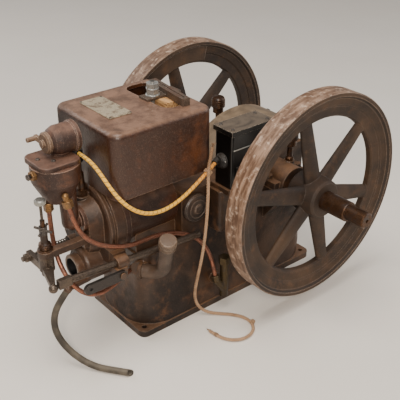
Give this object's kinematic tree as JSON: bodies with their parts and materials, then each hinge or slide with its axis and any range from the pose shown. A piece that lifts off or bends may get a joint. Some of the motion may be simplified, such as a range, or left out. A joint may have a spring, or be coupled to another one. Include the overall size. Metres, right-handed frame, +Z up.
{
  "type": "hit-and-miss engine",
  "caption": "Small horizontal hit-and-miss engine with a cooling hopper, spoked flywheels, a magneto, a fuel mixer and an exposed push rod and rocker, worn and rusty.",
  "frame": {"origin": "centre of the underside of the base, on the surface it stands on", "axes": "+X along the cylinder towards the crank, +Y away from the push rod side, +Z up"},
  "size_m": [0.7795, 0.606, 0.4981],
  "materials": {
    "base_iron": "rusty, oily",
    "hopper_iron": "rusty, traces of worn paint",
    "wheel_iron": "rusty, rubbed bright on the rim",
    "mixer_iron": "rusty",
    "plain_steel": "dull zinc",
    "worn_steel": "worn, stained",
    "dark_steel": "dark, edges rubbed",
    "grey_sheet": "dusty grey",
    "black_case": "satin black",
    "black_rubber": "dull",
    "brass": "tarnished",
    "copper": "copper, dull",
    "bare_plate": "dusty",
    "wood": "raw",
    "braid": "braided",
    "grey_hose": "dusty",
    "rope": "twisted fibre"
  },
  "bodies": {
    "engine": {"engine_base": "base_iron", "near_bearing_cap": "base_iron", "far_bearing_cap": "base_iron", "near_grease_cup": "plain_steel", "far_grease_cup": "plain_steel", "crank_guard": "grey_sheet", "water_hopper": "hopper_iron", "cylinder_head": "base_iron", "magneto_case": "black_case", "magneto_cover": "grey_sheet", "magneto_terminal": "black_rubber", "magneto_bracket": "base_iron", "side_cover": "base_iron", "mixer_bowl": "mixer_iron", "bowl_fittings": "brass", "mixer_lid": "mixer_iron", "air_barrel": "mixer_iron", "spark_plug": "plain_steel", "plug_boot": "black_rubber", "rocker_bracket": "base_iron", "valve_spring": "worn_steel", "push_rod_guide": "base_iron", "gland_stack": "worn_steel", "fuel_pump": "brass", "filler_pipe": "base_iron", "hopper_plate": "bare_plate", "clamp_bar": "dark_steel", "clamp_bolt": "plain_steel", "wood_block": "wood", "fuel_line_to_pump": "copper", "fuel_line_to_tank": "copper", "ignition_lead": "braid", "drain_hose": "grey_hose", "rope": "rope"},
    "crank": {"crankshaft": "plain_steel", "near_flywheel": "wheel_iron", "far_flywheel": "wheel_iron"},
    "push_rod": {"push_rod": "worn_steel"},
    "rocker": {"rocker_arm": "worn_steel"},
    "valve": {"exhaust_valve": "worn_steel"},
    "latch": {"latch_bar": "dark_steel"},
    "choke": {"choke_plate": "brass"},
    "needle": {"needle_valve": "plain_steel"},
    "cock": {"fuel_cock": "plain_steel"},
    "cap": {"filler_cap": "base_iron"}
  },
  "joints": [
    {"name": "crank_spin", "type": "hinge", "parent": "engine", "child": "crank", "pos_m": [0.115, 0, 0.258], "axis": [0, 1, 0], "continuous": true},
    {"name": "push_rod_slide", "type": "slide", "parent": "engine", "child": "push_rod", "axis": [-0.9977, 0, 0.0684], "range_m": [0, 0.008]},
    {"name": "rocker_turn", "type": "hinge", "parent": "engine", "child": "rocker", "pos_m": [-0.41, -0.04, 0.222], "axis": [0, 0, -1], "range_deg": [0, 7.31]},
    {"name": "valve_slide", "type": "slide", "parent": "engine", "child": "valve", "axis": [1, 0, 0], "range_m": [0, 0.006], "stiffness_N_per_m": 400, "deforming": ["valve_spring"]},
    {"name": "latch_turn", "type": "hinge", "parent": "engine", "child": "latch", "pos_m": [-0.302, -0.121, 0.197], "axis": [0, -1, 0], "range_deg": [0, 12]},
    {"name": "choke_turn", "type": "hinge", "parent": "engine", "child": "choke", "pos_m": [-0.3703, -0.014, 0.447], "axis": [1, 0, 0], "range_deg": [0, 90]},
    {"name": "needle_turn", "type": "hinge", "parent": "engine", "child": "needle", "pos_m": [-0.41, -0.04, 0.35], "axis": [0, 0, 1], "continuous": true},
    {"name": "cock_turn", "type": "hinge", "parent": "engine", "child": "cock", "pos_m": [-0.41, -0.04, 0.298], "axis": [0, 0, 1], "range_deg": [0, 90]},
    {"name": "cap_turn", "type": "hinge", "parent": "engine", "child": "cap", "pos_m": [-0.2105, -0.1411, 0.2391], "axis": [-0.1167, -0.3359, 0.9346], "continuous": true}
  ],
  "couplings": [
    {"joint": "rocker_turn", "follows": "push_rod_slide", "rad_per_m": 15.836},
    {"joint": "valve_slide", "follows": "push_rod_slide", "ratio": 0.7285}
  ]
}
